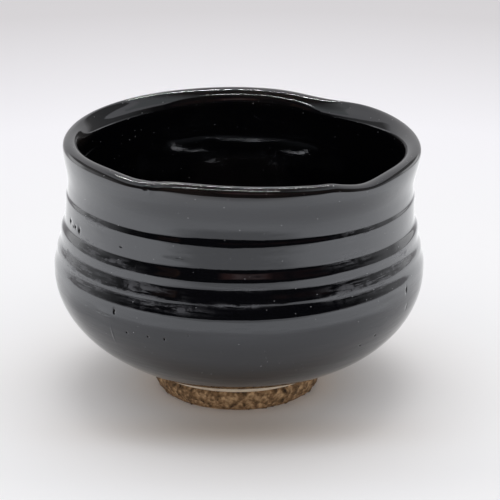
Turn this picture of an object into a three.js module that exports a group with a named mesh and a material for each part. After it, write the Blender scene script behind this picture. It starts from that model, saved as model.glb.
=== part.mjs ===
// A low-waisted matcha bowl, in millimetres, +Z up. The origin is the centre of the plane that it rests on.
// A coarse foot ring is luted round a shallow boss under a thrown clay bowl. A pale slip fillet closes the
// corner between them. Two pours of black glaze cover the bowl: one over the outside and the lip, one inside.
import * as THREE from 'three';

// Overall sizes
const BOWL_HEIGHT = 86; // mean height of the lip's crest
const BELLY_RADIUS = 61; // finished radius at the widest place

// Heights on the wall, measured down from the crest
const WAIST_DROP = 14;
const BELLY_DROP = 43;
const LAP_DROP = 10; // where the two pours of glaze meet inside the lip

// Radii on the wall, measured in from the belly
const WAIST_INSET = 4.4;
const LIP_INSET = 2.7;

// Thicknesses, glaze included
const LIP_THICKNESS = 4.6;
const WAIST_THICKNESS = 4.3;
const WALL_THICKNESS = 6; // at the belly and below
const FLOOR_THICKNESS = 5; // above the foot's top
const GLAZE_THICKNESS = 0.8;
const BOND_GAP = 0.3; // left between each pair of bonded pieces

// Throwing rings: each is a step outwards, at its drop below the crest
const THROWING_RINGS = [
  { drop: 17.5, step: 0.7 },
  { drop: 27.7, step: 1.2 },
  { drop: 34, step: 1.1 },
  { drop: 38.5, step: 0.9 },
];
const RING_FLANK = 2.4; // height over which a ring steps out

// Foot ring
const FOOT_RADIUS = 26; // at the rest plane
const FOOT_FLARE = 1.5; // how much wider the foot is at its top
const FOOT_HEIGHT = 9;
const FOOT_WIDTH = 7; // from the recess to the outside, at the rest plane
const FOOT_BEVEL = 0.9;
const RECESS_DEPTH = 6;

// Slip fillet between the foot and the glaze
const SLIP_WIDTH = 1.4;
const SLIP_LAP = 0.8; // how far it hangs below the foot's top
const GLAZE_EDGE_RISE = 0.4; // height of the glaze's lower edge above the foot's top

// Tea pool pressed into the floor
const POOL_RADIUS = 21;
const POOL_DEPTH = 1;
const POOL_SLOPE = 2.5; // width of its edge

// The hand-made unevenness: the lip's wave and the sideways shifts of the lip and of the belly. The wave and
// the lip's shift fade down the wall as a power of the height.
const LIP_WAVE = [
  { waves: 1, cosine: -1.1, sine: -0.1 },
  { waves: 2, cosine: -0.7, sine: 0.25 },
  { waves: 3, cosine: 0.1, sine: 0.2 },
];
const LIP_SHIFT = 0.6;
const BELLY_SHIFT = -0.5;
const FADE_POWER = 4;

// Fullness of the curved lower body: 2 is an ellipse, more is squarer
const BODY_FULLNESS = 2.1;

// Fineness of the solids
const TURN_SEGMENTS = 40;
const BODY_STEPS = 9;
const FLOOR_STEPS = 8;
const LIP_STEPS = 6;
const FLARE_STEPS = 3; // between the waist and the lip

const bellyZ = BOWL_HEIGHT - BELLY_DROP;
const waistZ = BOWL_HEIGHT - WAIST_DROP;
const lipCentreZ = BOWL_HEIGHT - LIP_THICKNESS / 2;
const lapZ = BOWL_HEIGHT - LAP_DROP;
const footTopRadius = FOOT_RADIUS + FOOT_FLARE;
const footInnerRadius = FOOT_RADIUS - FOOT_WIDTH;
const seatZ = FOOT_HEIGHT + BOND_GAP;
const floorZ = FOOT_HEIGHT + FLOOR_THICKNESS;
const slipOuterRadius = footTopRadius + SLIP_WIDTH;
const glazeEdgeRadius = slipOuterRadius + 2 * BOND_GAP;
const glazeEdgeZ = FOOT_HEIGHT + GLAZE_EDGE_RISE;
const coatDepth = GLAZE_THICKNESS + BOND_GAP; // from the finished surface to the clay

const point = (radius, z) => new THREE.Vector2(radius, z);
const smooth = (t) => THREE.MathUtils.smoothstep(t, 0, 1);
const sum = (values) => values.reduce((total, value) => total + value, 0);

// Finished radius of the outside from the belly up: terraces between the rings, then the waist and the flare.
function wallRadius(z) {
  const lipRadius = BELLY_RADIUS - LIP_INSET;
  const waistRadius = BELLY_RADIUS - WAIST_INSET;
  if (z > waistZ) {
    return THREE.MathUtils.lerp(waistRadius, lipRadius, smooth((z - waistZ) / (lipCentreZ - waistZ)));
  }
  const steps = THROWING_RINGS.map(({ drop, step }) => {
    const flankBottom = BOWL_HEIGHT - drop - RING_FLANK / 2;
    return step * THREE.MathUtils.clamp((z - flankBottom) / RING_FLANK, 0, 1);
  });
  const slope = WAIST_INSET - sum(THROWING_RINGS.map(({ step }) => step));
  return BELLY_RADIUS - slope * smooth((z - bellyZ) / (waistZ - bellyZ)) - sum(steps);
}

// Finished radius of the inside from the belly up: the outside without its rings, less the wall.
function boreRadius(z) {
  if (z > waistZ) {
    const rise = (z - waistZ) / (lipCentreZ - waistZ);
    return wallRadius(z) - THREE.MathUtils.lerp(WAIST_THICKNESS, LIP_THICKNESS, rise);
  }
  const rise = (z - bellyZ) / (waistZ - bellyZ);
  const thickness = THREE.MathUtils.lerp(WALL_THICKNESS, WAIST_THICKNESS, rise);
  return BELLY_RADIUS - WAIST_INSET * smooth(rise) - thickness;
}

// A quarter of a superellipse, from a point that it passes through out to the belly.
function bodyCurve(bellyRadius, start, steps) {
  const power = 2 / BODY_FULLNESS;
  const startAngle = Math.acos((start.x / bellyRadius) ** (1 / power));
  const depth = (bellyZ - start.y) / Math.sin(startAngle) ** power;
  return Array.from({ length: steps + 1 }, (_, i) => {
    const angle = startAngle * (1 - i / steps);
    return point(bellyRadius * Math.cos(angle) ** power, bellyZ - depth * Math.sin(angle) ** power);
  });
}

// Heights on the outside between the belly and the lip: both ends of each ring's flank, the waist, the flare.
function wallHeights() {
  const flanks = THROWING_RINGS.flatMap(({ drop }) => {
    const edge = BOWL_HEIGHT - drop;
    return [edge + RING_FLANK / 2, edge - RING_FLANK / 2];
  });
  const flare = Array.from({ length: FLARE_STEPS }, (_, i) => {
    return THREE.MathUtils.lerp(waistZ, lipCentreZ, i / FLARE_STEPS);
  });
  return [...flanks, ...flare].sort((a, b) => a - b);
}

// The outline of the finished bowl, from the glaze's lower edge up the outside, over the lip and down to the
// floor's centre. It is cut in two where the pours of glaze meet.
function finishedOutline() {
  const outside = [
    ...bodyCurve(BELLY_RADIUS, point(glazeEdgeRadius, glazeEdgeZ), BODY_STEPS),
    ...wallHeights().map((z) => point(wallRadius(z), z)),
  ];
  const lipRadius = LIP_THICKNESS / 2;
  const lipCentreRadius = BELLY_RADIUS - LIP_INSET - lipRadius;
  const lip = Array.from({ length: LIP_STEPS + 1 }, (_, i) => {
    const angle = (Math.PI * i) / LIP_STEPS;
    return point(lipCentreRadius + lipRadius * Math.cos(angle), lipCentreZ + lipRadius * Math.sin(angle));
  });
  const boreHeights = [lapZ - BOND_GAP, waistZ, (waistZ + bellyZ) / 2];
  const floor = bodyCurve(BELLY_RADIUS - WALL_THICKNESS, point(POOL_RADIUS, floorZ), FLOOR_STEPS);
  return {
    outer: [...outside, ...lip, point(boreRadius(lapZ), lapZ)],
    inner: [
      ...boreHeights.map((z) => point(boreRadius(z), z)),
      ...floor.reverse(),
      point(POOL_RADIUS - POOL_SLOPE, floorZ - POOL_DEPTH),
      point(0, floorZ - POOL_DEPTH),
    ],
  };
}

// The outline moved by a depth to its left, which is into the clay. An end on the axis stays on the axis.
function inset(outline, depth) {
  return outline.map((here, i) => {
    const before = outline[Math.max(i - 1, 0)];
    const after = outline[Math.min(i + 1, outline.length - 1)];
    const along = after.clone().sub(before).normalize();
    if (here.x === 0) return point(0, here.y - depth);
    return point(here.x - along.y * depth, here.y + along.x * depth);
  });
}

// The hand-made unevenness, none at the foot and most at the lip.
function unevenPlace(place) {
  const rise = Math.max(0, (place.z - FOOT_HEIGHT) / (BOWL_HEIGHT - FOOT_HEIGHT));
  const turn = Math.atan2(place.y, place.x);
  const wave = sum(LIP_WAVE.map(({ waves, cosine, sine }) => {
    return cosine * Math.cos(waves * turn) + sine * Math.sin(waves * turn);
  }));
  const towardsLip = rise ** FADE_POWER;
  const bellyRise = (bellyZ - FOOT_HEIGHT) / (BOWL_HEIGHT - FOOT_HEIGHT);
  const towardsBelly = smooth(rise / bellyRise) * (1 - smooth((rise - bellyRise) / (1 - bellyRise)));
  place.x += LIP_SHIFT * towardsLip + BELLY_SHIFT * towardsBelly;
  place.z += wave * towardsLip;
  return place;
}

// A solid turned from an outline that runs anticlockwise with the radius to the right and the height up.
function turned(name, outline, material) {
  const geometry = new THREE.LatheGeometry(outline, TURN_SEGMENTS).rotateX(Math.PI / 2);
  const positions = geometry.getAttribute('position');
  for (let i = 0; i < positions.count; i += 1) {
    const place = unevenPlace(new THREE.Vector3().fromBufferAttribute(positions, i));
    positions.setXYZ(i, place.x, place.y, place.z);
  }
  const mesh = new THREE.Mesh(geometry, material);
  mesh.name = name;
  return mesh;
}

const closed = (outline) => [...outline, outline[0].clone()];
const coat = (surface) => closed([...surface, ...inset(surface, GLAZE_THICKNESS).reverse()]);
// A coat that reaches the axis starts and ends on it.
const cappedCoat = (surface) => [...inset(surface, GLAZE_THICKNESS).reverse(), ...surface];

function material(name, color, roughness) {
  return new THREE.MeshStandardMaterial({ name, color, roughness, metalness: 0 });
}

const surface = finishedOutline();
const clayWall = inset([...surface.outer, ...surface.inner], coatDepth);

function thrownBowl() {
  const bossRadius = footInnerRadius - BOND_GAP;
  const underside = [
    point(0, RECESS_DEPTH),
    point(bossRadius, RECESS_DEPTH),
    point(bossRadius, seatZ),
    point(footTopRadius, seatZ),
  ];
  return turned('thrown_bowl', [...underside, ...clayWall], material('stoneware_clay', 0x8d7557, 0.95));
}

function footRing() {
  const outline = closed([
    point(footInnerRadius + FOOT_BEVEL, 0),
    point(FOOT_RADIUS - FOOT_BEVEL, 0),
    point(FOOT_RADIUS, FOOT_BEVEL),
    point(footTopRadius, FOOT_HEIGHT),
    point(footInnerRadius, FOOT_HEIGHT),
    point(footInnerRadius, FOOT_BEVEL),
  ]);
  return turned('foot_ring', outline, material('coarse_foot_clay', 0x7d6344, 0.98));
}

// The fillet's top runs along the bowl's underside, one bond gap below it.
function slipLine() {
  const seatEdge = point(footTopRadius, seatZ);
  const underside = clayWall[0].clone().sub(seatEdge);
  const slope = underside.y / underside.x;
  const drop = BOND_GAP * Math.hypot(1, slope);
  const topZ = (radius) => seatZ + slope * (radius - footTopRadius) - drop;
  const innerRadius = footTopRadius + BOND_GAP;
  const outline = closed([
    point(innerRadius, FOOT_HEIGHT - SLIP_LAP),
    point(slipOuterRadius, glazeEdgeZ - BOND_GAP),
    point(slipOuterRadius, topZ(slipOuterRadius)),
    point(innerRadius, topZ(innerRadius)),
  ]);
  return turned('slip_line', outline, material('pale_slip', 0xc9b899, 0.85));
}

const blackGlaze = () => material('black_glaze', 0x08080a, 0.08);
const outerGlaze = () => turned('outer_glaze', coat(surface.outer), blackGlaze());
const innerGlaze = () => turned('inner_glaze', cappedCoat(surface.inner), blackGlaze());

const group = new THREE.Group();
group.add(thrownBowl(), footRing(), slipLine(), outerGlaze(), innerGlaze());

export default group;
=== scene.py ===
"""A low-waisted matcha bowl: black glaze over a thrown clay bowl, a pale slip fillet and a coarse, bare foot ring.

Metres, +Z up. The origin is the centre of the plane that the foot ring rests on, and -Y faces the lip's low front.
"""

import math

import bpy
import numpy as np
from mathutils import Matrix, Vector

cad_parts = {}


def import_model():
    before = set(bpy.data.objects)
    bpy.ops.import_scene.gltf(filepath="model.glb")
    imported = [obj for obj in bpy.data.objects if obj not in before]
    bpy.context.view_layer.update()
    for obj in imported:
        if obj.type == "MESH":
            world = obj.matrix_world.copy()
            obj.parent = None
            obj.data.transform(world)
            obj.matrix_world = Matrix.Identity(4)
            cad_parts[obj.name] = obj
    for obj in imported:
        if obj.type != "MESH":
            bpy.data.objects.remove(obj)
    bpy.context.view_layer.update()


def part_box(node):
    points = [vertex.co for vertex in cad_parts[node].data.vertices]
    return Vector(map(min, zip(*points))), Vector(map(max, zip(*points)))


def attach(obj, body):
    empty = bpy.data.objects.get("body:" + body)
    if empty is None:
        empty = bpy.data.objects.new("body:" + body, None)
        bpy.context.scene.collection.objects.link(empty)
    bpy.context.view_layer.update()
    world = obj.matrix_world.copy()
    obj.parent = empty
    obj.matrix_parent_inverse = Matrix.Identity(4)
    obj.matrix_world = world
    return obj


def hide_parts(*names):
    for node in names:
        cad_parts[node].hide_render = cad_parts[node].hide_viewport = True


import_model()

MM = 0.001

# Overall sizes, from the frame
BELLY_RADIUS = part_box("outer_glaze")[1].y
GLAZE_EDGE_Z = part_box("outer_glaze")[0].z
FOOT_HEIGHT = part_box("foot_ring")[1].z
FOOT_TOP_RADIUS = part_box("foot_ring")[1].x
SLIP_OUTER_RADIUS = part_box("slip_line")[1].x
SLIP_BOTTOM_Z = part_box("slip_line")[0].z
RECESS_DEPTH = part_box("thrown_bowl")[0].z

# The bowl's wall, as it was turned
BOWL_HEIGHT = 86 * MM
WAIST_DROP = 14 * MM
BELLY_DROP = 43 * MM
LAP_DROP = 10 * MM
WAIST_INSET = 4.4 * MM
LIP_INSET = 2.7 * MM
LIP_THICKNESS = 4.6 * MM
LIP_ROLL = 4.8 * MM
WAIST_THICKNESS = 4.3 * MM
WALL_THICKNESS = 6 * MM
FLOOR_THICKNESS = 5 * MM
GLAZE_THICKNESS = 0.8 * MM
BOND_GAP = 0.3 * MM
SLIP_SAG = 0.6 * MM
SLIP_BULGE = 1.0 * MM
FOOT_SWELL = 0.8 * MM
LAP_GAP = 0.02 * MM
BODY_FULLNESS = 2.1
POOL_RADIUS = 21 * MM
POOL_DEPTH = 1 * MM
POOL_SLOPE = 2.5 * MM

# Throwing rings: each steps outwards by its step, over its own height, at its drop below the crest
THROWING_RINGS = [
    {"drop": 17.5 * MM, "step": 0.45 * MM, "height": 1.6 * MM},
    {"drop": 27.7 * MM, "step": 1.2 * MM, "height": 3.6 * MM},
    {"drop": 34.1 * MM, "step": 1.1 * MM, "height": 4.6 * MM},
    {"drop": 38.9 * MM, "step": 0.95 * MM, "height": 5.2 * MM},
]

# Foot ring
FOOT_RADIUS = 26 * MM
FOOT_WIDTH = 7 * MM
FOOT_BEVEL = 0.9 * MM

# The hand-made unevenness, as (waves round the bowl, cosine part, sine part)
LIP_WAVE = [(1, -1.1 * MM, -0.1 * MM), (2, -0.7 * MM, 0.25 * MM), (3, 0.1 * MM, 0.2 * MM)]
LIP_SHIFT = 0.6 * MM
BELLY_SHIFT = -0.5 * MM
FADE_POWER = 4

# Dips and rises that only the lip has, as (degrees round the bowl, half width in degrees, rise)
LIP_DIPS = [
    (-46.5, 7.5, -1.75 * MM),
    (-61, 2.5, 0.35 * MM),
    (60, 9, -1.35 * MM),
    (-125, 7, -1.2 * MM),
    (-119, 1.6, -0.35 * MM),
]
DIP_FADE_POWER = 14

# Stretches where the inside of the lip is pressed back to a slope, as (degrees, half width, share of its roll)
LIP_BEVELS = [(147, 20, 0.75), (50, 10, 0.6), (30, 12, 0.3), (-62, 4, 0.6)]
BEVEL_DEPTH = 6 * MM

# How far the foot stands off the bowl's axis, and between which heights that fades
FOOT_SHIFT = -1.1 * MM
FOOT_SHIFT_FADE = (10 * MM, 18 * MM)

# How far the throwing rings wander up and down, and over which heights
RING_WANDER = 0.3 * MM
RING_ZONE = (44 * MM, 72 * MM)

# Broad marks pressed into the outside, as (degrees round the bowl, height, half width, half height, rise)
OUTSIDE_MARKS = [
    (-157.0, 62.8 * MM, 4.0 * MM, 1.6 * MM, -0.25 * MM),
    (-141.0, 65.0 * MM, 3.0 * MM, 1.0 * MM, -0.08 * MM),
    (-111.0, 62.4 * MM, 5.0 * MM, 0.8 * MM, -0.06 * MM),
    (-150.0, 38.0 * MM, 8.0 * MM, 5.0 * MM, -0.35 * MM),
    (-133.0, 40.8 * MM, 4.0 * MM, 1.1 * MM, -0.35 * MM),
    (-45.0, 40.6 * MM, 8.0 * MM, 1.1 * MM, -0.2 * MM),
    (-62.0, 40.8 * MM, 9.0 * MM, 1.1 * MM, -0.18 * MM),
    (-78.0, 40.6 * MM, 10.0 * MM, 1.0 * MM, -0.14 * MM),
    (-108.0, 41.0 * MM, 12.0 * MM, 1.0 * MM, -0.13 * MM),
    (-38.0, 46.0 * MM, 5.0 * MM, 1.2 * MM, -0.14 * MM),
    (-118.9, 84.9 * MM, 0.6 * MM, 1.4 * MM, -0.6 * MM),
    (-120.0, 84.9 * MM, 0.6 * MM, 1.0 * MM, 0.3 * MM),
]

# Pits and burst bubbles in the glaze, and one run of it, as (degrees, height, half width, half height, depth)
GLAZE_PITS = [
    (-161.5, 63.0 * MM, 1.0 * MM, 0.7 * MM, 0.9),
    (-158.3, 62.2 * MM, 0.5 * MM, 0.6 * MM, 0.3),
    (-156.3, 62.7 * MM, 0.7 * MM, 0.6 * MM, 0.6),
    (-153.2, 62.5 * MM, 0.7 * MM, 0.8 * MM, 0.9),
    (-130.5, 63.4 * MM, 0.7 * MM, 0.4 * MM, 0.09),
    (-129.8, 43.1 * MM, 0.5 * MM, 0.8 * MM, 0.35),
    (-134.5, 41.0 * MM, 3.0 * MM, 0.35 * MM, 0.13),
    (-131.9, 34.2 * MM, 0.35 * MM, 2.4 * MM, -0.12),
    (-125.6, 36.6 * MM, 0.42 * MM, 0.42 * MM, 0.3),
    (-118.0, 36.9 * MM, 0.36 * MM, 0.36 * MM, 0.25),
    (-112.5, 37.0 * MM, 0.42 * MM, 0.45 * MM, 0.35),
    (-104.8, 39.5 * MM, 0.32 * MM, 0.32 * MM, 0.2),
    (-42.8, 32.1 * MM, 0.35 * MM, 0.35 * MM, 0.25),
    (-48.6, 30.0 * MM, 0.4 * MM, 0.35 * MM, 0.25),
    (-28.4, 43.4 * MM, 0.5 * MM, 1.2 * MM, 0.35),
    (-27.0, 37.0 * MM, 0.5 * MM, 1.0 * MM, 0.2),
]

TURN_COLUMNS = 420

# Streaky places where the glaze dried rough, as (degrees, height, half width, half height)
DRY_PATCHES = [
    (-48, 68.0 * MM, 7 * MM, 2.2 * MM),
    (-52, 60.0 * MM, 8 * MM, 2.0 * MM),
    (-56, 51.0 * MM, 7 * MM, 2.6 * MM),
    (-42, 51.0 * MM, 7 * MM, 3.4 * MM),
    (-28, 54.0 * MM, 8 * MM, 3.0 * MM),
    (-146, 68.0 * MM, 9 * MM, 1.8 * MM),
    (-122, 51.5 * MM, 13 * MM, 2.6 * MM),
    (-112, 47.5 * MM, 12 * MM, 1.2 * MM),
    (-133, 57.5 * MM, 8 * MM, 2.0 * MM),
    (-148, 59.5 * MM, 9 * MM, 2.4 * MM),
    (-144, 50.0 * MM, 9 * MM, 3.4 * MM),
    (-158, 52.0 * MM, 9 * MM, 3.4 * MM),
    (-90, 49.6 * MM, 8 * MM, 0.7 * MM),
    (-88, 54.5 * MM, 6 * MM, 0.6 * MM),
]
DRY_COLOR = (0.055, 0.055, 0.06, 1)
GLAZE_IOR = 1.74
GLAZE_TINT = (0.93, 0.95, 1.0, 1)
GLAZE_COLOR = (0.0015, 0.0015, 0.002, 1)
THIN_GLAZE_COLOR = (0.05, 0.036, 0.026, 1)
# Pale specks: partly pale dust in the glaze, partly painted glints of bubbles catching the light
SPECK_AND_GLINT_COLOR = (0.35, 0.35, 0.36, 1)

BELLY_Z = BOWL_HEIGHT - BELLY_DROP
WAIST_Z = BOWL_HEIGHT - WAIST_DROP
LIP_RADIUS = LIP_THICKNESS / 2
LIP_CENTRE_Z = BOWL_HEIGHT - LIP_RADIUS
LIP_CENTRE_RADIUS = BELLY_RADIUS - LIP_INSET - LIP_RADIUS
LAP_Z = BOWL_HEIGHT - LAP_DROP
SEAT_Z = FOOT_HEIGHT + BOND_GAP
FLOOR_Z = FOOT_HEIGHT + FLOOR_THICKNESS
GLAZE_EDGE_RADIUS = SLIP_OUTER_RADIUS + 2 * BOND_GAP
FOOT_INNER_RADIUS = FOOT_RADIUS - FOOT_WIDTH


# ---------------------------------------------------------------- node trees


class Wire:
    """A number socket that Python's operators work on: each one adds a Math node to the socket's tree."""

    def __init__(self, maker, socket):
        self.maker = maker
        self.socket = socket

    def math(self, operation, *others, clamp=False):
        settings = {"operation": operation, "use_clamp": clamp}
        return self.maker.add("ShaderNodeMath", settings, dict(enumerate([self, *others])))

    def __add__(self, other):
        return self.math("ADD", other)

    def __sub__(self, other):
        return self.math("SUBTRACT", other)

    def __rsub__(self, other):
        return self.math("MULTIPLY_ADD", -1, other)

    def __mul__(self, other):
        return self.math("MULTIPLY", other)

    def __truediv__(self, other):
        return self.math("DIVIDE", other)

    def __pow__(self, other):
        return self.math("POWER", other)

    def __mod__(self, other):
        return self.math("FLOORED_MODULO", other)

    __radd__ = __add__
    __rmul__ = __mul__


class Maker:
    """Adds nodes to one tree, of shaders or of geometry."""

    def __init__(self, tree):
        self.tree = tree

    def add(self, kind, settings=None, sockets=None, output=0):
        """Adds a node, with its settings before its sockets' values or links, and returns one of its outputs."""
        made = self.tree.nodes.new(kind)
        for name, value in (settings or {}).items():
            if name == "stops":
                self.set_stops(made.color_ramp, value)
            else:
                setattr(made, name, value)
        for name, value in (sockets or {}).items():
            self.feed(self.find(made.inputs, name), value)
        return Wire(self, self.find(made.outputs, output))

    def feed(self, socket, value):
        if isinstance(value, Wire):
            self.tree.links.new(value.socket, socket)
        elif value is not None:
            socket.default_value = value

    @staticmethod
    def find(sockets, name):
        if isinstance(name, int):
            return sockets[name]
        return next(socket for socket in sockets if socket.name == name and socket.enabled)

    @staticmethod
    def set_stops(ramp, stops):
        while len(ramp.elements) < len(stops):
            ramp.elements.new(0.5)
        for element, (position, color) in zip(ramp.elements, stops):
            element.position = position
            element.color = (*color, 1)

    def other_output(self, wire, name):
        """Another output of the node that a wire comes from."""
        return Wire(self, self.find(wire.socket.node.outputs, name))


# ---------------------------------------------------------------- outlines


def smooth(value):
    t = min(max(value, 0), 1)
    return t * t * (3 - 2 * t)


def blend(start, end, share):
    return start + (end - start) * share


def wall_radius(z):
    """Finished radius of the outside from the belly up: terraces between the rings, the waist, then the flare."""
    waist_radius = BELLY_RADIUS - WAIST_INSET
    if z > WAIST_Z:
        share = smooth((z - WAIST_Z) / (LIP_CENTRE_Z - WAIST_Z))
        return blend(waist_radius, BELLY_RADIUS - LIP_INSET, share)
    stepped = 0
    for ring in THROWING_RINGS:
        flank_bottom = BOWL_HEIGHT - ring["drop"] - ring["height"] / 2
        stepped += ring["step"] * smooth((z - flank_bottom) / ring["height"])
    slope = WAIST_INSET - sum(ring["step"] for ring in THROWING_RINGS)
    return BELLY_RADIUS - slope * smooth((z - BELLY_Z) / (WAIST_Z - BELLY_Z)) - stepped


def bore_radius(z):
    """Finished radius of the inside from the belly up: the wall without its rings, then upright to the lip."""
    z = min(z, WAIST_Z)
    share = (z - BELLY_Z) / (WAIST_Z - BELLY_Z)
    return BELLY_RADIUS - WAIST_INSET * smooth(share) - blend(WALL_THICKNESS, WAIST_THICKNESS, share)


def body_curve(belly_radius, start_radius, start_z, steps):
    """A quarter of a superellipse, from a point that it passes through out to the belly."""
    power = 2 / BODY_FULLNESS
    start_angle = math.acos((start_radius / belly_radius) ** (1 / power))
    depth = (BELLY_Z - start_z) / math.sin(start_angle) ** power
    curve = []
    for i in range(steps + 1):
        angle = start_angle * (1 - i / steps)
        curve.append((belly_radius * math.cos(angle) ** power, BELLY_Z - depth * math.sin(angle) ** power))
    return curve


def arc(centre_radius, centre_z, across, up, start, end, steps):
    """Points on an elliptical arc, its angles in degrees from outwards towards up."""
    angles = np.radians(np.linspace(start, end, steps + 1))
    return [(centre_radius + across * math.cos(a), centre_z + up * math.sin(a)) for a in angles]


def outside_surface():
    """From the glaze's lower edge up the outside, over the lip and down to where the two pours meet."""
    body = body_curve(BELLY_RADIUS, GLAZE_EDGE_RADIUS, GLAZE_EDGE_Z, 44)
    wall = [(wall_radius(z), z) for z in np.linspace(BELLY_Z, LIP_CENTRE_Z, 84)[1:-1]]
    lip = arc(LIP_CENTRE_RADIUS, LIP_CENTRE_Z, LIP_RADIUS, LIP_RADIUS, 0, 90, 8)
    roll_end = BOWL_HEIGHT - LIP_ROLL
    lip += arc(LIP_CENTRE_RADIUS, roll_end, LIP_CENTRE_RADIUS - bore_radius(roll_end), LIP_ROLL, 90, 180, 12)[1:]
    bore = [(bore_radius(z), z) for z in np.linspace(roll_end, LAP_Z, 9)[1:]]
    return body + wall + lip + bore


def inside_surface():
    """From where the two pours of glaze meet down the inside to the centre of the tea pool."""
    bore = [(bore_radius(z), z) for z in np.linspace(LAP_Z - LAP_GAP, BELLY_Z, 56)[:-1]]
    bowl = body_curve(BELLY_RADIUS - WALL_THICKNESS, POOL_RADIUS, FLOOR_Z, 44)[::-1]
    slope = [
        (POOL_RADIUS - POOL_SLOPE * share, FLOOR_Z - POOL_DEPTH * smooth(share))
        for share in np.linspace(0, 1, 9)[1:]
    ]
    pool = [(radius, FLOOR_Z - POOL_DEPTH) for radius in np.linspace(POOL_RADIUS - POOL_SLOPE, 0, 15)[1:]]
    return bore + bowl + slope + pool


def inset(outline, depth):
    """The outline moved by a depth to its left, which is into the clay. An end on the axis stays on the axis."""
    points = np.array(outline)
    along = np.gradient(points, axis=0)
    along /= np.linalg.norm(along, axis=1)[:, None]
    moved = points + depth * np.stack([-along[:, 1], along[:, 0]], axis=1)
    moved[points[:, 0] == 0] = points[points[:, 0] == 0] - [0, depth]
    return [tuple(point) for point in moved]


# ---------------------------------------------------------------- turning


def uneven_place(radius, degrees, z):
    """Where a point of the finished wall comes to lie, once the bowl has its unevenness."""
    turn = math.radians(degrees)
    rise = (z - FOOT_HEIGHT) / (BOWL_HEIGHT - FOOT_HEIGHT)
    belly_rise = (BELLY_Z - FOOT_HEIGHT) / (BOWL_HEIGHT - FOOT_HEIGHT)
    towards_belly = smooth(rise / belly_rise) * (1 - smooth((rise - belly_rise) / (1 - belly_rise)))
    shift = LIP_SHIFT * rise**FADE_POWER + BELLY_SHIFT * towards_belly
    return np.array([radius * math.cos(turn) + shift, radius * math.sin(turn), z])


def outside_radius(z):
    """Finished radius of the outside at any height above the glaze's lower edge."""
    if z >= BELLY_Z:
        return wall_radius(z)
    body = body_curve(BELLY_RADIUS, GLAZE_EDGE_RADIUS, GLAZE_EDGE_Z, 44)
    return float(np.interp(z, [height for _, height in body], [radius for radius, _ in body]))


def mark_rise(maker, degrees, z, half_width, half_height, rise):
    """How far one mark pushes the outside out at each point, or in where it is a dent."""
    turn = math.radians(degrees)
    centre = uneven_place(outside_radius(z), degrees, z)
    across = (-math.sin(turn), math.cos(turn), 0)
    outwards = (math.cos(turn), math.sin(turn), 0)
    here = maker.add("GeometryNodeInputPosition")
    away = maker.add("ShaderNodeVectorMath", {"operation": "SUBTRACT"}, {0: here, 1: tuple(centre)}, "Vector")
    far = 0
    for axis, reach in ((across, half_width), ((0, 0, 1), half_height), (outwards, 12 * MM)):
        along = maker.add("ShaderNodeVectorMath", {"operation": "DOT_PRODUCT"}, {0: away, 1: axis}, "Value")
        far = (along / reach) ** 2 + far
    return (far * -1).math("EXPONENT") * rise


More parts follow.
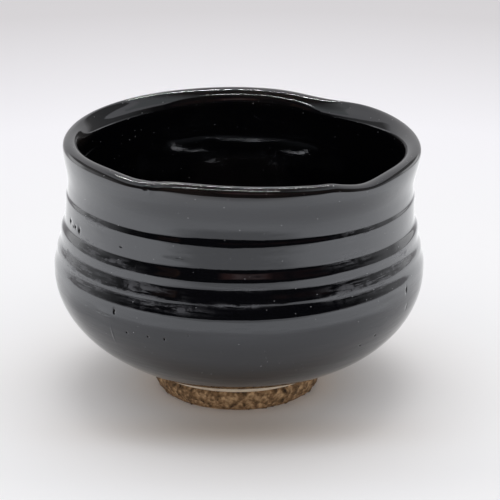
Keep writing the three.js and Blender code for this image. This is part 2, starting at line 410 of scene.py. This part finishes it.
def turning_tree():
    """Turns an outline round the Z axis and gives it the bowl's unevenness and a skin of soft lumps."""
    tree = bpy.data.node_groups.new("turned_and_uneven", "GeometryNodeTree")
    tree.interface.new_socket("Geometry", in_out="OUTPUT", socket_type="NodeSocketGeometry")
    for name, kind in (
        ("Geometry", "NodeSocketGeometry"),
        ("Columns", "NodeSocketInt"),
        ("Lump Depth", "NodeSocketFloat"),
        ("Lump Scale", "NodeSocketFloat"),
        ("Marks", "NodeSocketFloat"),
        ("Finish", "NodeSocketMaterial"),
    ):
        tree.interface.new_socket(name, in_out="INPUT", socket_type=kind)
    maker = Maker(tree)
    given = maker.add("NodeGroupInput", output="Geometry")
    columns = maker.other_output(given, "Columns")

    rows = maker.add("GeometryNodeAttributeDomainSize", {"component": "MESH"}, {"Geometry": given}, "Point Count")
    grid = maker.add("GeometryNodeMeshGrid", None, {"Vertices X": rows, "Vertices Y": columns + 1}, "Mesh")
    index = maker.add("GeometryNodeInputIndex")
    row = (index / (columns + 1)).math("FLOOR")
    turn = (index % (columns + 1)) / columns * math.tau

    def from_outline(value, data_type):
        settings = {"data_type": data_type, "domain": "POINT"}
        return maker.add("GeometryNodeSampleIndex", settings, {"Geometry": given, "Value": value, "Index": row}, "Value")

    place = from_outline(maker.add("GeometryNodeInputPosition"), "FLOAT_VECTOR")
    skin_settings = {"data_type": "FLOAT"}
    skin = maker.add("GeometryNodeInputNamedAttribute", skin_settings, {"Name": "skin"}, "Attribute")
    skin = from_outline(skin, "FLOAT")
    radius = maker.add("ShaderNodeSeparateXYZ", None, {0: place}, "X")
    height = maker.other_output(radius, "Z")

    rise = ((height - FOOT_HEIGHT) / (BOWL_HEIGHT - FOOT_HEIGHT)).math("MAXIMUM", 0)
    towards_lip = rise**FADE_POWER
    wave = 0
    for waves, cosine, sine in LIP_WAVE:
        wave = (turn * waves).math("COSINE") * cosine + (turn * waves).math("SINE") * sine + wave
    dips = 0
    for degrees, half_width, lift in LIP_DIPS:
        near = (turn - math.radians(degrees)).math("COSINE") - 1
        dips = (near / math.radians(half_width) ** 2).math("EXPONENT") * lift + dips
    belly_rise = (BELLY_Z - FOOT_HEIGHT) / (BOWL_HEIGHT - FOOT_HEIGHT)

    def eased(value):
        t = value.math("ADD", 0, clamp=True)
        return t * t * (3 - 2 * t)

    towards_belly = eased(rise / belly_rise) * (1 - eased((rise - belly_rise) / (1 - belly_rise)))
    shift = towards_lip * LIP_SHIFT + towards_belly * BELLY_SHIFT
    low, high = RING_ZONE
    fade = 4 * MM
    in_zone = eased((height - low) / fade) * (1 - eased((height - high) / fade))
    around = maker.add("ShaderNodeCombineXYZ", None, {0: turn.math("COSINE"), 1: turn.math("SINE"), 2: height * 25})
    drift = maker.add("ShaderNodeTexNoise", None, {"Vector": around, "Scale": 1.6, "Detail": 2.0}, 0) - 0.5
    inner_side = ((LIP_CENTRE_RADIUS - radius) / (0.5 * MM)).math("ADD", 0, clamp=True)
    bevel = 0
    for degrees, half_width, share in LIP_BEVELS:
        near = (turn - math.radians(degrees)).math("COSINE") - 1
        bevel = (near / math.radians(half_width) ** 2).math("EXPONENT") * share + bevel
    bevel = bevel.math("MINIMUM", 0.85) * inner_side * eased((height - BOWL_HEIGHT) / BEVEL_DEPTH + 1)
    radius = radius + bevel * (LIP_CENTRE_RADIUS - radius)
    full_below, none_above = FOOT_SHIFT_FADE
    shift = shift + eased((none_above - height) / (none_above - full_below)) * FOOT_SHIFT
    x = radius * turn.math("COSINE") + shift
    y = radius * turn.math("SINE")
    z = height + wave * towards_lip + dips * rise**DIP_FADE_POWER + drift * in_zone * (2 * RING_WANDER)
    turned_place = maker.add("ShaderNodeCombineXYZ", None, {0: x, 1: y, 2: z})
    turned = maker.add("GeometryNodeSetPosition", None, {"Geometry": grid, "Position": turned_place})
    kept_settings = {"data_type": "FLOAT", "domain": "POINT"}
    kept_sockets = {"Geometry": turned, "Name": "skin", "Value": skin}
    turned = maker.add("GeometryNodeStoreNamedAttribute", kept_settings, kept_sockets)
    closed = maker.add("GeometryNodeMergeByDistance", None, {"Geometry": turned, "Distance": 0.001 * MM})

    lump_sockets = {
        "Vector": maker.add("GeometryNodeInputPosition"),
        "Scale": maker.other_output(given, "Lump Scale"),
        "Detail": 3.0,
    }
    lump = maker.add("ShaderNodeTexNoise", None, lump_sockets, 0) - 0.5
    own_skin = maker.add("GeometryNodeInputNamedAttribute", skin_settings, {"Name": "skin"}, "Attribute")
    marks = 0
    for mark in OUTSIDE_MARKS:
        marks = mark_rise(maker, *mark) + marks
    push = own_skin * (lump * maker.other_output(given, "Lump Depth") * 2 + marks * maker.other_output(given, "Marks"))
    # The lump pattern is kept for the clay finishes, which paint shade in its pits and highlight on its crests
    kept_sockets = {"Geometry": closed, "Name": "lump", "Value": lump + 0.5}
    closed = maker.add("GeometryNodeStoreNamedAttribute", kept_settings, kept_sockets)
    normal = maker.add("GeometryNodeInputNormal")
    offset = maker.add("ShaderNodeVectorMath", {"operation": "SCALE"}, {"Vector": normal, "Scale": push}, "Vector")
    lumpy = maker.add("GeometryNodeSetPosition", None, {"Geometry": closed, "Offset": offset})
    here = maker.add("ShaderNodeSeparateXYZ", None, {0: maker.add("GeometryNodeInputPosition")}, "X")
    here_y, here_z = maker.other_output(here, "Y"), maker.other_output(here, "Z")
    rested = maker.add("ShaderNodeCombineXYZ", None, {0: here, 1: here_y, 2: here_z.math("MAXIMUM", 0)})
    lumpy = maker.add("GeometryNodeSetPosition", None, {"Geometry": lumpy, "Position": rested})
    rounded = maker.add("GeometryNodeSetShadeSmooth", {"domain": "FACE"}, {"Geometry": lumpy, "Shade Smooth": True})
    corner = maker.add("GeometryNodeInputMeshEdgeAngle").math("GREATER_THAN", math.radians(40))
    corner_sockets = {"Geometry": rounded, "Selection": corner, "Shade Smooth": False}
    shaded = maker.add("GeometryNodeSetShadeSmooth", {"domain": "EDGE"}, corner_sockets)
    real = maker.add("GeometryNodeRealizeInstances", None, {"Geometry": shaded})
    finish_sockets = {"Geometry": real, "Material": maker.other_output(given, "Finish")}
    finished = maker.add("GeometryNodeSetMaterial", None, finish_sockets)
    output = tree.nodes.new("NodeGroupOutput")
    tree.links.new(finished.socket, output.inputs["Geometry"])
    return tree


def with_nodes_applied(name, mesh, tree, inputs):
    """An object made of a mesh with a Geometry Nodes tree applied to it."""
    piece = bpy.data.objects.new(name, mesh)
    bpy.context.scene.collection.objects.link(piece)
    modifier = piece.modifiers.new(name, "NODES")
    modifier.node_group = tree
    for item in tree.interface.items_tree:
        if item.item_type == "SOCKET" and item.in_out == "INPUT" and item.name in inputs:
            modifier[item.identifier] = inputs[item.name]
    depsgraph = bpy.context.evaluated_depsgraph_get()
    made = bpy.data.meshes.new_from_object(piece.evaluated_get(depsgraph), depsgraph=depsgraph)
    piece.modifiers.clear()
    piece.data = made
    made.name = name
    return piece


def turned_piece(name, outline, skin, finish, lump_depth=0.0, lump_scale=60.0, marks=0.0, columns=TURN_COLUMNS):
    """A piece turned from an outline. skin says how much each of its points takes of the lumps."""
    mesh = bpy.data.meshes.new(name + "_outline")
    points = [(radius, 0, z) for radius, z in outline]
    mesh.from_pydata(points, [(i, i + 1) for i in range(len(points) - 1)], [])
    mesh.attributes.new("skin", "FLOAT", "POINT").data.foreach_set("value", skin)
    inputs = {
        "Columns": columns,
        "Lump Depth": lump_depth,
        "Lump Scale": lump_scale,
        "Marks": marks,
        "Finish": finish,
    }
    return with_nodes_applied(name, mesh, TURNING, inputs)


def coat(surface):
    """The outline of a coat of glaze on a surface, and its skin: the back of the coat stays plain."""
    back = inset(surface, GLAZE_THICKNESS)[::-4]
    outline = [*surface, *back, surface[0]]
    return outline, [1.0] * len(surface) + [0.0] * len(back) + [1.0]


# ---------------------------------------------------------------- finishes


def new_material(name):
    material = bpy.data.materials.new(name)
    material.use_nodes = True
    material.node_tree.nodes.clear()
    return material, Maker(material.node_tree)


def put_out(maker, shader):
    output = maker.tree.nodes.new("ShaderNodeOutputMaterial")
    maker.tree.links.new(shader.socket, output.inputs["Surface"])


def stretched(maker, place, across, up):
    """Object coordinates scaled so that a noise in them lies in streaks round the bowl."""
    settings = {"vector_type": "POINT"}
    return maker.add("ShaderNodeMapping", settings, {"Vector": place, "Scale": (across, across, up)})


def near_place(maker, place, degrees, z, half_width, half_height):
    """1 at a place of the outside, falling to 0 around it."""
    turn = math.radians(degrees)
    centre = tuple(uneven_place(outside_radius(z), degrees, z))
    away = maker.add("ShaderNodeVectorMath", {"operation": "SUBTRACT"}, {0: place, 1: centre}, "Vector")
    across = (-math.sin(turn), math.cos(turn), 0)
    outwards = (math.cos(turn), math.sin(turn), 0)
    far = 0
    for axis, reach in ((across, half_width), ((0, 0, 1), half_height), (outwards, 3.2 * MM)):
        along = maker.add("ShaderNodeVectorMath", {"operation": "DOT_PRODUCT"}, {0: away, 1: axis}, "Value")
        far = (along / reach) ** 2 + far
    return (far * -1).math("EXPONENT")


def black_glaze():
    material, maker = new_material("black_glaze")
    place = maker.add("ShaderNodeTexCoord", output="Object")
    height = maker.add("ShaderNodeSeparateXYZ", None, {0: place}, "Z")
    broad = maker.add("ShaderNodeTexNoise", None, {"Vector": place, "Scale": 60.0, "Detail": 3.0})
    peel = maker.add("ShaderNodeTexNoise", None, {"Vector": place, "Scale": 700.0, "Detail": 2.0})
    grit = maker.add("ShaderNodeTexNoise", None, {"Vector": place, "Scale": 2000.0, "Detail": 2.0})
    soft_streaks = maker.add(
        "ShaderNodeTexNoise", None, {"Vector": stretched(maker, place, 40, 260), "Scale": 1.0, "Detail": 3.0}
    )
    fine_streaks = maker.add(
        "ShaderNodeTexNoise", None, {"Vector": stretched(maker, place, 130, 1500), "Scale": 1.0, "Detail": 4.0}
    )
    dry = 0
    for patch in DRY_PATCHES:
        dry = near_place(maker, place, *patch) + dry
    broken = maker.add("ShaderNodeTexNoise", None, {"Vector": place, "Scale": 330.0, "Detail": 4.0})
    gaps = ((broken - 0.34) * 5).math("ADD", 0, clamp=True)
    streaked = ((fine_streaks - 0.43) * 8).math("ADD", 0, clamp=True) * gaps
    dry = (dry * streaked * 1.2).math("MINIMUM", 1)

    # Pale specks in the glaze, which are also painted glints where its bubbles catch the light
    specks_and_glints = maker.add("ShaderNodeTexVoronoi", None, {"Vector": place, "Scale": 450.0}, "Distance")
    chosen = maker.add("ShaderNodeSeparateColor", None, {0: maker.other_output(specks_and_glints, "Color")}, "Red")
    clustered = ((broken - 0.3) * 5).math("ADD", 0, clamp=True)
    specks_and_glints = specks_and_glints.math("LESS_THAN", 0.07) * ((chosen - 0.25) * 1.2).math("MAXIMUM", 0) * clustered
    edge = ((GLAZE_EDGE_Z + 5.5 * MM - height) / (5 * MM) + broad - 0.5).math("ADD", 0, clamp=True)
    crest = ((height - BOWL_HEIGHT + 6 * MM) / (4 * MM)).math("ADD", 0, clamp=True)
    thin = (crest * (broad * 0.5 - 0.17) + edge * peel * 1.3).math("MAXIMUM", 0)
    color = GLAZE_COLOR
    for share, other in ((thin, THIN_GLAZE_COLOR), (dry, DRY_COLOR), (specks_and_glints, SPECK_AND_GLINT_COLOR)):
        color = maker.add("ShaderNodeMix", {"data_type": "RGBA"}, {"Factor": share, "A": color, "B": other}, 2)

    below_lip = 1 - crest
    below_belly = ((BELLY_Z + 2 * MM - height) / (4 * MM)).math("ADD", 0, clamp=True)
    skin = soft_streaks * (below_belly * 0.16 + 0.05) + fine_streaks * (dry * 0.03 + 0.002)
    skin = (skin + peel * 0.009 + grit * 0.0025) * below_lip
    # The deepest pits also get painted shade: a flat near-black in place of the glossy glaze
    pit_shade_mask = 0
    for degrees, z, half_width, half_height, depth in GLAZE_PITS:
        pit = near_place(maker, place, degrees, z, half_width, half_height)
        skin = skin - pit * depth
        if depth > 0.2:
            pit_shade_mask = pit + pit_shade_mask
    pit_shade_mask = (pit_shade_mask * 2.5 - 0.8).math("ADD", 0, clamp=True)
    bump = maker.add("ShaderNodeBump", None, {"Strength": 1.0, "Distance": MM, "Height": skin}, "Normal")
    shader_sockets = {
        "Base Color": color,
        "Roughness": broad * 0.05 + dry * 0.4 + edge * 0.15 + 0.04,
        "IOR": GLAZE_IOR,
        "Specular Tint": GLAZE_TINT,
        "Normal": bump,
    }
    glaze = maker.add("ShaderNodeBsdfPrincipled", None, shader_sockets)
    # Painted shade inside the deepest pits
    painted_pit_shade = maker.add("ShaderNodeBsdfDiffuse", None, {"Color": (0.006, 0.005, 0.005, 1)})
    put_out(maker, maker.add("ShaderNodeMixShader", None, {0: pit_shade_mask, 1: glaze, 2: painted_pit_shade}))
    return material


def bare_clay(name, pit_shade, body, crest_highlight, scale):
    """Gritty bare clay: darker on its low lumps, as painted shade in the pits where the lumps are real bumps, and paler
    on its high ones, as painted highlight on the crests; finer grit everywhere.
    """
    material, maker = new_material(name)
    place = maker.add("ShaderNodeTexCoord", output="Object")
    lump = maker.add("ShaderNodeAttribute", {"attribute_name": "lump"}, None, "Fac")
    grain = maker.add("ShaderNodeTexNoise", None, {"Vector": place, "Scale": scale, "Detail": 5.0})
    # The ramp's ends are painted shade in the pits and painted highlight on the crests
    stops = {"stops": [(0.36, pit_shade), (0.5, body), (0.64, crest_highlight)]}
    color = maker.add("ShaderNodeValToRGB", stops, {"Fac": lump * 0.6 + grain * 0.4})
    bump = maker.add("ShaderNodeBump", None, {"Strength": 0.6, "Distance": 0.4 * MM, "Height": grain}, "Normal")
    shader_sockets = {"Base Color": color, "Roughness": 0.95, "Normal": bump}
    put_out(maker, maker.add("ShaderNodeBsdfPrincipled", None, shader_sockets))
    return material


TURNING = turning_tree()
BLACK_GLAZE = black_glaze()
# On the foot the lumps are real bumps, so its dark pits are painted shade and its pale crests painted highlight
COARSE_CLAY = bare_clay("coarse_foot_clay", (0.035, 0.018, 0.008), (0.265, 0.152, 0.07), (0.64, 0.43, 0.235), 900)
STONEWARE_CLAY = bare_clay("stoneware_clay", (0.22, 0.15, 0.09), (0.36, 0.27, 0.18), (0.5, 0.4, 0.29), 250)
PALE_SLIP = bare_clay("pale_slip", (0.7, 0.58, 0.44), (0.82, 0.7, 0.55), (0.88, 0.79, 0.65), 300)


# ---------------------------------------------------------------- pieces


def outer_glaze_coat():
    outline, skin = coat(outside_surface())
    piece = turned_piece("outer_glaze_coat", outline, skin, BLACK_GLAZE, 0.08 * MM, 55.0, marks=1.0)
    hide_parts("outer_glaze")
    return piece, "black_glaze"


def inner_glaze_coat():
    surface = inside_surface()
    back = inset(surface, GLAZE_THICKNESS)[::-1]
    outline = [*back, *surface]
    skin = [0.0] * len(back) + [1.0] * len(surface)
    piece = turned_piece("inner_glaze_coat", outline, skin, BLACK_GLAZE, 0.3 * MM, 45.0, columns=300)
    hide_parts("inner_glaze")
    return piece, "black_glaze"


def clay_body():
    boss_radius = FOOT_INNER_RADIUS - BOND_GAP
    trimmed = [
        (radius, RECESS_DEPTH) for radius in np.linspace(0, boss_radius, 40)
    ]
    seat = [(boss_radius, SEAT_Z), (FOOT_TOP_RADIUS, SEAT_Z)]
    wall = inset(outside_surface() + inside_surface(), GLAZE_THICKNESS + BOND_GAP)[::2]
    wall[-1] = (0, wall[-1][1])
    outline = [*trimmed, *seat, *wall]
    piece = turned_piece("clay_body", outline, [0.0] * len(outline), STONEWARE_CLAY, columns=180)
    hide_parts("thrown_bowl")
    return piece, "stoneware_clay"


def bare_foot():
    corners = [
        (FOOT_INNER_RADIUS + FOOT_BEVEL, 0),
        (FOOT_RADIUS - FOOT_BEVEL, 0),
        (FOOT_RADIUS + 0.2 * MM, FOOT_BEVEL),
        (FOOT_TOP_RADIUS + FOOT_SWELL * 0.7, FOOT_HEIGHT * 0.5),
        (FOOT_TOP_RADIUS + FOOT_SWELL, FOOT_HEIGHT * 0.66),
        (FOOT_TOP_RADIUS + FOOT_SWELL * 0.5, FOOT_HEIGHT * 0.78),
        (FOOT_TOP_RADIUS - 0.2 * MM, FOOT_HEIGHT * 0.87),
        (FOOT_TOP_RADIUS, FOOT_HEIGHT),
        (FOOT_INNER_RADIUS, FOOT_HEIGHT),
        (FOOT_INNER_RADIUS, FOOT_BEVEL),
        (FOOT_INNER_RADIUS + FOOT_BEVEL, 0),
    ]
    outline = [corners[0]]
    for start, end in zip(corners, corners[1:]):
        steps = max(2, round(math.dist(start, end) / (0.5 * MM)))
        for i in range(1, steps + 1):
            outline.append((blend(start[0], end[0], i / steps), blend(start[1], end[1], i / steps)))
    skin = [0.0 if z < 0.1 * MM else 1 - smooth((z - FOOT_HEIGHT * 0.74) / (1.6 * MM)) for _, z in outline]
    piece = turned_piece("bare_foot", outline, skin, COARSE_CLAY, 1.1 * MM, 520.0)
    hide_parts("foot_ring")
    return piece, "coarse_foot_clay"


def slip_fillet():
    inner = FOOT_TOP_RADIUS + BOND_GAP
    bottom = SLIP_BOTTOM_Z - SLIP_SAG
    bead = arc(inner, GLAZE_EDGE_Z, SLIP_OUTER_RADIUS + SLIP_BULGE - inner, GLAZE_EDGE_Z - bottom, -90, 0, 12)
    outline = [
        *bead,
        (SLIP_OUTER_RADIUS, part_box("slip_line")[1].z),
        (inner, SEAT_Z),
        (inner, bottom),
    ]
    piece = turned_piece("slip_fillet", outline, [0.0] * len(outline), PALE_SLIP)
    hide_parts("slip_line")
    return piece, "pale_slip"


for make in (outer_glaze_coat, inner_glaze_coat, clay_body, bare_foot, slip_fillet):
    made, slot_name = make()
    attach(made, "root")


# ---------------------------------------------------------------- studio

# Dim warm shapes in the dark opening, as (left, right, low, high, softness, color), in millimetres
WARM_SHAPES = [
    (-41, 69, 132, 195, 16, (0.22, 0.1, 0.085)),
    (-10, 60, 140, 165, 14, (0.3, 0.27, 0.27)),
    (69, 110, 110, 190, 20, (0.06, 0.028, 0.022)),
    (130, 300, 110, 195, 30, (0.05, 0.022, 0.018)),
    (-257, -160, 95, 205, 25, (0.07, 0.035, 0.022)),
    (-163, -153, 100, 210, 8, (0.13, 0.065, 0.035)),
]


# Painted shadow: where the floor in front of the bowl is darker, as (x, y, half width, half depth, multiplier)
PAINTED_FLOOR_SHADOWS = [
    (0, -42 * MM, 40 * MM, 13 * MM, (0.73, 0.67, 0.61, 1)),
    (8 * MM, -73 * MM, 75 * MM, 20 * MM, (0.935, 0.93, 0.925, 1)),
]


def plain_mesh(name, points, faces, material):
    mesh = bpy.data.meshes.new(name)
    mesh.from_pydata(points, [], faces)
    mesh.materials.append(material)
    thing = bpy.data.objects.new(name, mesh)
    bpy.context.scene.collection.objects.link(thing)
    return thing


def seen_only_in_gloss(thing):
    thing.visible_camera = False
    thing.visible_diffuse = False
    thing.visible_shadow = False
    thing.visible_transmission = False


def floor():
    material, maker = new_material("floor_paint")
    place = maker.add("ShaderNodeTexCoord", output="Object")
    away = maker.add("ShaderNodeVectorMath", {"operation": "LENGTH"}, {0: place}, "Value")
    # Painted light on the floor: paler and warmer near the foot, as painted warm bounce light from the clay, then
    # darker far out, as painted falloff of the light
    stops = {
        "stops": [
            (0.0, (0.97, 0.93, 0.88)),
            (0.06, (0.965, 0.95, 0.935)),
            (0.1, (0.91, 0.91, 0.912)),
            (0.2, (0.875, 0.875, 0.88)),
            (0.3, (0.865, 0.86, 0.88)),
            (0.5, (0.67, 0.655, 0.66)),
        ]
    }
    color = maker.add("ShaderNodeValToRGB", stops, {"Fac": away})
    x = maker.add("ShaderNodeSeparateXYZ", None, {0: place}, "X")
    y = maker.other_output(x, "Y")
    # Each patch multiplies a painted shadow of the bowl into the floor's colour
    for centre_x, centre_y, half_width, half_depth, shade in PAINTED_FLOOR_SHADOWS:
        far = ((x - centre_x) / half_width) ** 2 + ((y - centre_y) / half_depth) ** 2
        settings = {"data_type": "RGBA", "blend_type": "MULTIPLY"}
        color = maker.add("ShaderNodeMix", settings, {"Factor": (far * -1).math("EXPONENT"), "A": color, "B": shade}, 2)
    sockets = {"Base Color": color, "Roughness": 1.0, "Specular IOR Level": 0.0}
    put_out(maker, maker.add("ShaderNodeBsdfPrincipled", None, sockets))
    half = 2.5
    corners = [(-half, -half, 0), (half, -half, 0), (half, half, 0), (-half, half, 0)]
    plain_mesh("floor", corners, [(0, 1, 2, 3)], material)


def world():
    """A pale room, brighter overhead than at its sides."""
    studio = bpy.data.worlds.new("pale_room")
    studio.use_nodes = True
    maker = Maker(studio.node_tree)
    direction = maker.add("ShaderNodeTexCoord", output="Generated")
    upward = maker.add("ShaderNodeSeparateXYZ", None, {0: direction}, "Z")
    background = studio.node_tree.nodes["Background"]
    background.inputs["Color"].default_value = (0.985, 0.98, 1.0, 1)
    strength = upward.math("MAXIMUM", 0) * 0.4 + 0.63
    studio.node_tree.links.new(strength.socket, background.inputs["Strength"])
    bpy.context.scene.world = studio


def emitting(name, color, strength):
    material, maker = new_material(name)
    put_out(maker, maker.add("ShaderNodeEmission", None, {"Color": (*color, 1), "Strength": strength}))
    return material


def card(name, corners, color):
    """A flat card that only the glaze's reflections show."""
    seen_only_in_gloss(plain_mesh(name, corners, [(0, 1, 2, 3)], emitting(name + "_paint", color, 1)))


def fading(maker, shader, shown):
    """A shader that is seen through where shown is 0."""
    clear = maker.add("ShaderNodeBsdfTransparent")
    return maker.add("ShaderNodeMixShader", None, {0: shown, 1: clear, 2: shader})


def side_card(name, x, start, end, low, high):
    """A card standing beside the bowl, darkest at its front end and brightest low down at its back end."""
    material, maker = new_material(name + "_paint")
    place = maker.add("ShaderNodeTexCoord", output="Object")
    y = maker.add("ShaderNodeSeparateXYZ", None, {0: place}, "Y")
    z = maker.other_output(y, "Z")
    low_down = ((0.165 - z) / 0.03).math("ADD", 0, clamp=True)
    back_end = ((y - 0.11) / 0.07).math("ADD", 0, clamp=True)
    strength = ((y + 0.14) / 0.2).math("ADD", 0, clamp=True) * (low_down * 0.38 + 0.2) + 0.035
    strength = strength + low_down * back_end * 0.75
    shown = ((end - y) / 0.12).math("ADD", 0, clamp=True)
    put_out(maker, fading(maker, maker.add("ShaderNodeEmission", None, {"Strength": strength}), shown))
    corners = [(x, start, low), (x, end, low), (x, end, high), (x, start, high)]
    seen_only_in_gloss(plain_mesh(name, corners, [(0, 1, 2, 3)], material))


def lit_floor():
    """The brightly lit floor outside the picture, which the glaze's upright surfaces show."""
    material, maker = new_material("lit_floor_paint")
    place = maker.add("ShaderNodeTexCoord", output="Object")
    across = maker.add("ShaderNodeSeparateXYZ", None, {0: place}, "X").math("ABSOLUTE")
    y = maker.add("ShaderNodeSeparateXYZ", None, {0: place}, "Y")
    away = maker.add("ShaderNodeVectorMath", {"operation": "LENGTH"}, {0: place}, "Value")
    beyond = ((y * -1 - 0.2) / 0.05).math("ADD", 0, clamp=True)
    side = ((across - 0.1) / 0.12).math("ADD", 0, clamp=True)
    half, near, far, z = 460 * MM, -420 * MM, 320 * MM, 0.5 * MM
    shown = ((away - 0.11) / 0.06).math("ADD", 0, clamp=True)
    for inwards in (half - across, y - near, far - y):
        shown = (inwards / 0.1).math("ADD", 0, clamp=True) * shown
    strength = (side * 0.3 + 1.3) * (1 - beyond * 0.35)
    emission = maker.add("ShaderNodeEmission", None, {"Color": (0.98, 0.985, 1, 1), "Strength": strength})
    put_out(maker, fading(maker, emission, shown))
    corners = [(-half, near, z), (half, near, z), (half, far, z), (-half, far, z)]
    seen_only_in_gloss(plain_mesh("lit_floor", corners, [(0, 1, 2, 3)], material))


def soft_box(maker, place, left, right, low, high, softness):
    """1 inside a box of a card that stands across X, falling to 0 around it."""
    x = maker.add("ShaderNodeSeparateXYZ", None, {0: place}, "X")
    z = maker.other_output(x, "Z")
    inside = 1
    for edge in (x - left, right - x, z - low, high - z):
        inside = (edge / softness + 0.5).math("ADD", 0, clamp=True) * inside
    return inside


def opening_paint():
    """The dark opening in front: nearly black, with dim warm shapes in it."""
    material, maker = new_material("dark_opening_paint")
    place = maker.add("ShaderNodeTexCoord", output="Object")
    cloud = maker.add("ShaderNodeTexNoise", None, {"Vector": place, "Scale": 28.0, "Detail": 3.0})
    color = (0.014, 0.014, 0.017, 1)
    for left, right, low, high, softness, warm in WARM_SHAPES:
        share = soft_box(maker, place, left * MM, right * MM, low * MM, high * MM, softness * MM)
        share = share * (cloud * 2.4 - 0.5).math("ADD", 0, clamp=True)
        settings = {"data_type": "RGBA", "blend_type": "ADD"}
        color = maker.add("ShaderNodeMix", settings, {"Factor": share, "A": color, "B": (*warm, 1)}, 2)
    put_out(maker, maker.add("ShaderNodeEmission", None, {"Color": color, "Strength": 1.0}))
    return material


def ceiling_paint():
    """The ceiling: dim over the bowl and paler towards its sides."""
    material, maker = new_material("ceiling_paint")
    place = maker.add("ShaderNodeTexCoord", output="Object")
    across = maker.add("ShaderNodeSeparateXYZ", None, {0: place}, "X").math("ABSOLUTE")
    strength = ((across - 0.1) / 0.12).math("ADD", 0, clamp=True) * 0.6 + 0.05
    color = (0.95, 1, 1, 1)
    put_out(maker, maker.add("ShaderNodeEmission", None, {"Color": color, "Strength": strength}))
    return material


def cards():
    """The dark opening in front, the dim sides next to it, the ceiling over it and the lit floor."""
    low, high, top = 25 * MM, 272 * MM, 330 * MM
    half, front = 370 * MM, -215 * MM
    corners = [(-half, front, low), (half, front, low), (half, front, top), (-half, front, top)]
    seen_only_in_gloss(plain_mesh("dark_opening", corners, [(0, 1, 2, 3)], opening_paint()))
    side_card("left_side", -half, front, 420 * MM, low, high)
    side_card("right_side", half, front, 560 * MM, low, top)
    half, back, z = 300 * MM, 86 * MM, 330 * MM
    corners = [(-half, front, z), (-half, back, z), (half, back, z), (half, front, z)]
    seen_only_in_gloss(plain_mesh("ceiling", corners, [(0, 1, 2, 3)], ceiling_paint()))
    lit_floor()


def lamp_strip(name, x_centre, y, z, count, pitch, size, strength):
    """A row of small lamps that only the glaze's reflections show."""
    points, faces = [], []
    for i in range(count):
        x = x_centre + (i - (count - 1) / 2) * pitch
        start = len(points)
        points += [(x - size / 2, y - size / 2, z), (x + size / 2, y - size / 2, z)]
        points += [(x + size / 2, y + size / 2, z), (x - size / 2, y + size / 2, z)]
        faces.append((start + 3, start + 2, start + 1, start))
    seen_only_in_gloss(plain_mesh(name, points, faces, emitting(name + "_light", (1, 0.98, 0.95), strength)))


def soft_light(name, place, aim, size, power):
    data = bpy.data.lights.new(name, "AREA")
    data.shape = "SQUARE"
    data.size = size
    data.energy = power
    lamp = bpy.data.objects.new(name, data)
    lamp.location = place
    lamp.rotation_euler = (Vector(aim) - Vector(place)).to_track_quat("-Z", "Y").to_euler()
    lamp.visible_glossy = False
    lamp.visible_camera = False
    bpy.context.scene.collection.objects.link(lamp)


def camera():
    data = bpy.data.cameras.new("camera")
    data.sensor_width = 36
    data.lens = 185
    eye = bpy.data.objects.new("camera", data)
    eye.location = (3.13 * MM, -800 * MM, 332.3 * MM)
    eye.rotation_euler = (math.pi / 2 - 0.343, 0, 0)
    bpy.context.scene.collection.objects.link(eye)
    bpy.context.scene.camera = eye


floor()
world()
cards()
lamp_strip("front_lamps", -50 * MM, -150 * MM, 325 * MM, 34, 9 * MM, 4 * MM, 140)
lamp_strip("back_lamps", 20 * MM, 96 * MM, 325 * MM, 42, 9 * MM, 4 * MM, 240)
soft_light("overhead_softbox", (0.01, 0.14, 0.78), (0, 0, 0.02), 0.5, 1.35)
camera()

bpy.context.scene.view_settings.view_transform = "Standard"
